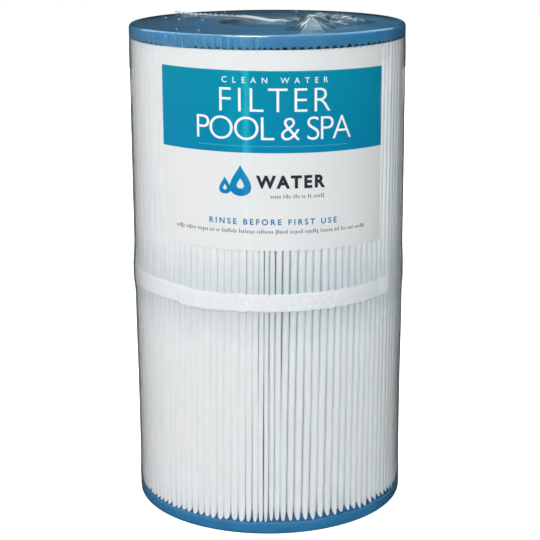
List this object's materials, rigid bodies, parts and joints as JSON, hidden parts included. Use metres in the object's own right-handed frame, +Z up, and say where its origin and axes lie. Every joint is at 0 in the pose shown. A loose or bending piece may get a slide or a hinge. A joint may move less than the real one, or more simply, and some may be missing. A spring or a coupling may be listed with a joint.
{
  "type": "pleated spa filter cartridge",
  "caption": "Pleated cylindrical water filter cartridge with two blue end caps, a spacer strap and a printed card, sealed in clear shrink film.",
  "frame": {"origin": "centre of the bottom end cap's lower face, on the surface that the cartridge stands on", "axes": "+Z up along the cartridge's axis; the middle of the label faces -Y"},
  "size_m": [0.1568, 0.1568, 0.281],
  "materials": {
    "end_cap": "cast polyurethane, smooth",
    "media": "spunbonded polyester, matt",
    "strap": "non-woven, slightly fuzzy",
    "core": "moulded, satin",
    "glue": "hot-melt adhesive",
    "label": "coated card",
    "film": "clear shrink film, glossy"
  },
  "bodies": {
    "root": {"top_end_cap": "end_cap", "bottom_end_cap": "end_cap", "core_lower_half": "core", "core_upper_half": "core", "pleated_media": "media", "media_seam_glue": "glue", "spacer_strap": "strap", "strap_glue_lower": "glue", "strap_glue_upper": "glue", "strap_lap_glue": "glue", "label_card": "label", "shrink_film": "film"}
  },
  "joints": []
}
